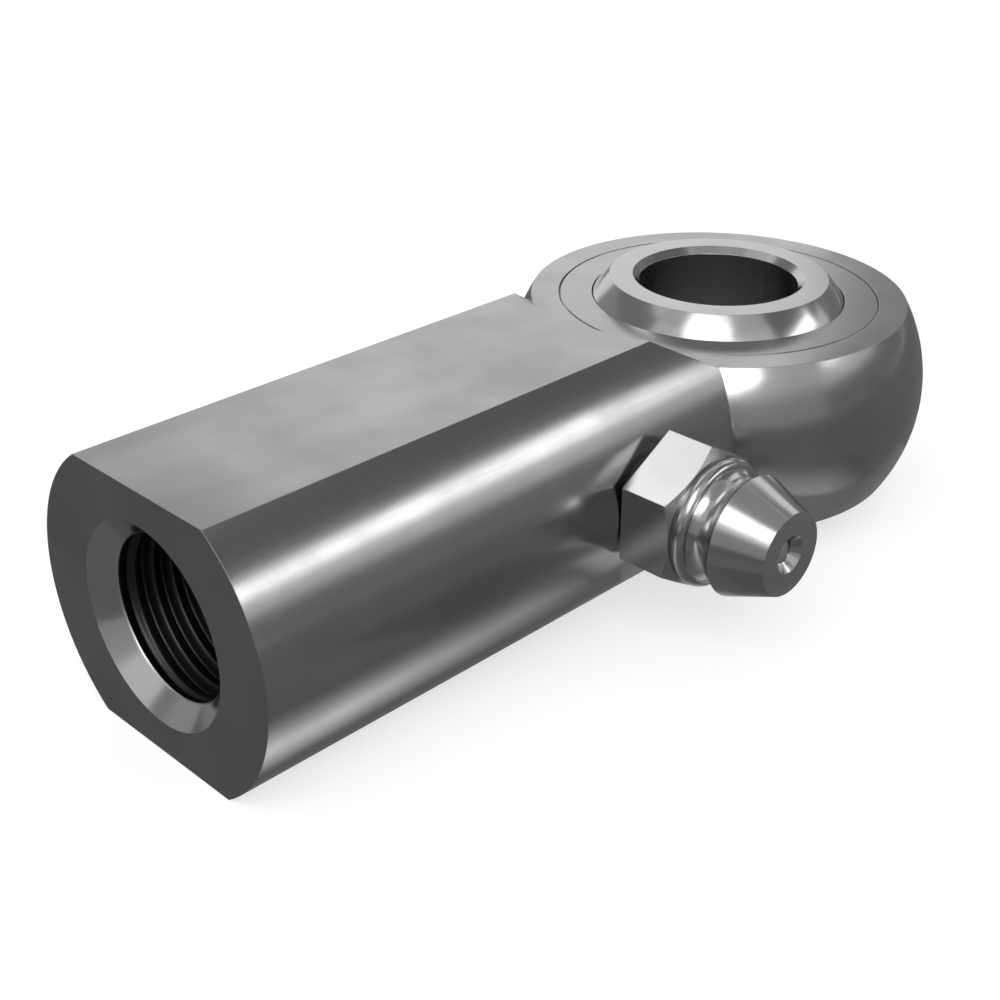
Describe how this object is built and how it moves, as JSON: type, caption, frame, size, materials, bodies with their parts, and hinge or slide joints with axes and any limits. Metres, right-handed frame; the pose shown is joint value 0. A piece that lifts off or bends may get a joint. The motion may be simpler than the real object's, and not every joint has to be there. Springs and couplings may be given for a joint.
{
  "type": "rod end",
  "caption": "Female rod end: flatted steel shank with a threaded hole, rounded head with a spherical bearing that tilts, and a grease nipple with a sprung check ball.",
  "frame": {"origin": "centre of the ball, in the middle of the head's thickness", "axes": "+Z along the ball's bore, +X away from the shank along the part's length, and the grease nipple points to -Y"},
  "size_m": [0.054, 0.0295, 0.0142],
  "materials": {
    "body_steel": "satin turned and milled steel",
    "race_steel": "satin ground steel",
    "ball_steel": "polished hard steel",
    "nipple_steel": "bright turned steel",
    "check_ball_steel": "polished",
    "spring_steel": "drawn wire"
  },
  "bodies": {
    "body": {"housing": "body_steel", "race": "race_steel", "grease_nipple": "nipple_steel", "check_spring": "spring_steel"},
    "ball": {"ball": "ball_steel"},
    "check_ball": {"check_ball": "check_ball_steel"}
  },
  "joints": [
    {"name": "ball_tilt", "type": "hinge", "parent": "body", "child": "ball", "pos_m": [0, 0, 0], "axis": [1, 0, 0], "range_deg": [-12, 12]},
    {"name": "check_ball_lift", "type": "slide", "parent": "body", "child": "check_ball", "axis": [0, 1, 0], "range_m": [0, 0.0009], "stiffness_N_per_m": 300, "springref_m": -0.003, "deforming": ["check_spring"]}
  ]
}
